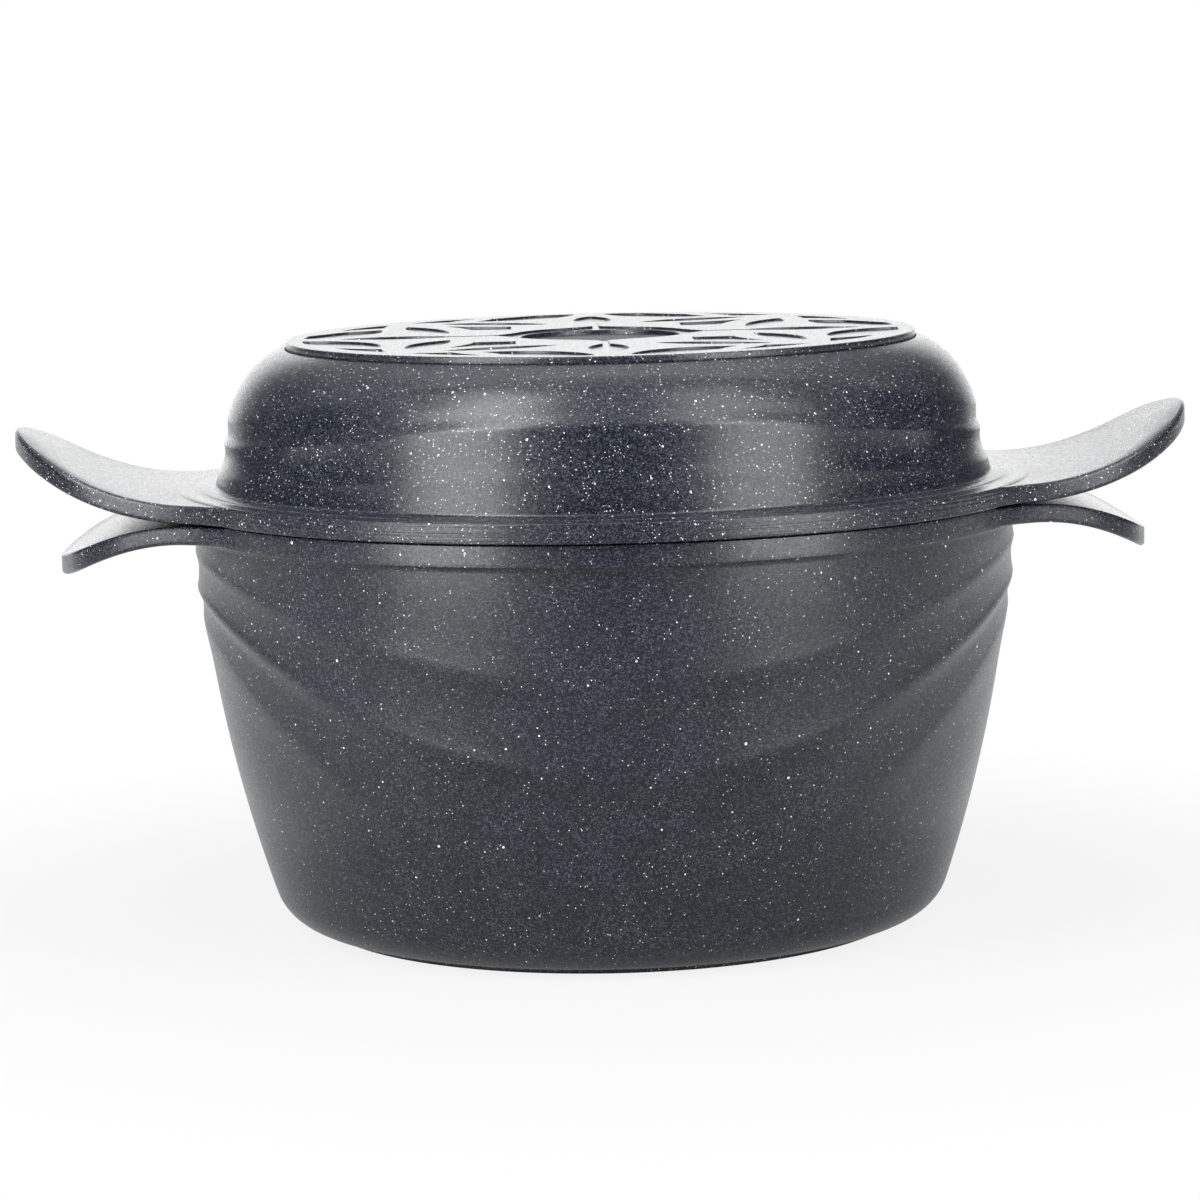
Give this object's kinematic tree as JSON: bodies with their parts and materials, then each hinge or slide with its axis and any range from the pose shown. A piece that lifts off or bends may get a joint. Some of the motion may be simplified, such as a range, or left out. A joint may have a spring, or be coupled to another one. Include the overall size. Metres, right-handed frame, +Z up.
{
  "type": "pot with frying pan lid",
  "caption": "Deep round cast pot closed by a shallow frying pan turned upside down as its lid, both with wing handles and a base plate with a rosette relief.",
  "frame": {"origin": "the middle of the pot's underside, where the pot stands", "axes": "+X along the wing handles, the longest way; +Y towards the back; +Z up, the shortest way"},
  "size_m": [0.419, 0.3048, 0.211],
  "materials": {
    "coated_casting": "cast aluminium under a satin charcoal coating with fine metallic grain and small white speckles",
    "coated_base_plate": "aluminium disc with cast relief under the same satin charcoal speckled coating"
  },
  "bodies": {
    "pot": {"pot_body": "coated_casting", "pot_base_plate": "coated_base_plate"},
    "lid_pan": {"pan_lid_body": "coated_casting", "pan_base_plate": "coated_base_plate"}
  },
  "joints": [
    {"name": "lid_lift", "type": "slide", "parent": "pot", "child": "lid_pan", "axis": [0, 0, 1], "range_m": [0, 0.12]}
  ]
}
